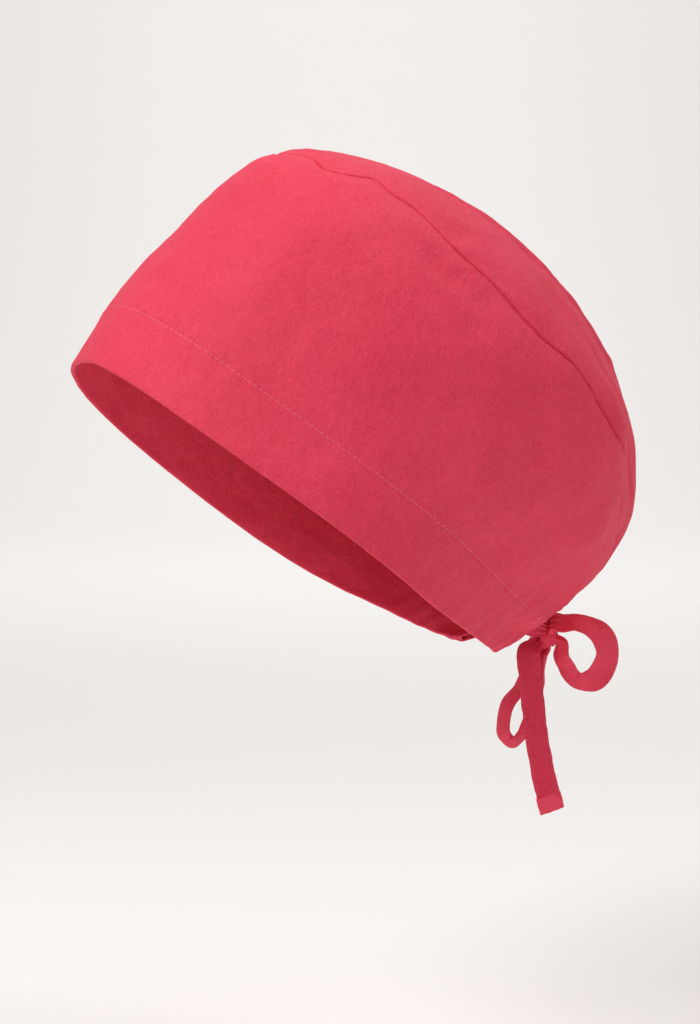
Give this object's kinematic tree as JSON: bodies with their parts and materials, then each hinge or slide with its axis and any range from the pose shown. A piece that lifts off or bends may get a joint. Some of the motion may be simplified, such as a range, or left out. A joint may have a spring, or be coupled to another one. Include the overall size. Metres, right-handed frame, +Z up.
{
  "type": "scrub cap",
  "caption": "Cotton surgical scrub cap with a gathered crown panel, a wide turned hem and a tie drawn through it into a bow at the nape.",
  "frame": {"origin": "the inside of the crown where the top of the wearer's head touches it, on the cap's plane of symmetry, as the cap sits on a level head", "axes": "+X towards the wearer's left side, -Y towards the forehead, +Y towards the nape and the bow, +Z up; the hem plane falls 36 degrees from the brow to the nape"},
  "size_m": [0.1704, 0.2416, 0.2849],
  "materials": {
    "side_cloth": "matt plain-weave cotton",
    "crown_cloth": "matt plain-weave cotton",
    "tie_cloth": "matt folded and stitched cotton tie"
  },
  "bodies": {
    "root": {"side_panel": "side_cloth", "crown_panel": "crown_cloth", "tie_knot": "tie_cloth", "tie_loop_left": "tie_cloth", "tie_loop_right": "tie_cloth", "tie_tail_left": "tie_cloth", "tie_tail_right": "tie_cloth", "tie_lead_left": "tie_cloth", "tie_lead_right": "tie_cloth"}
  },
  "joints": []
}
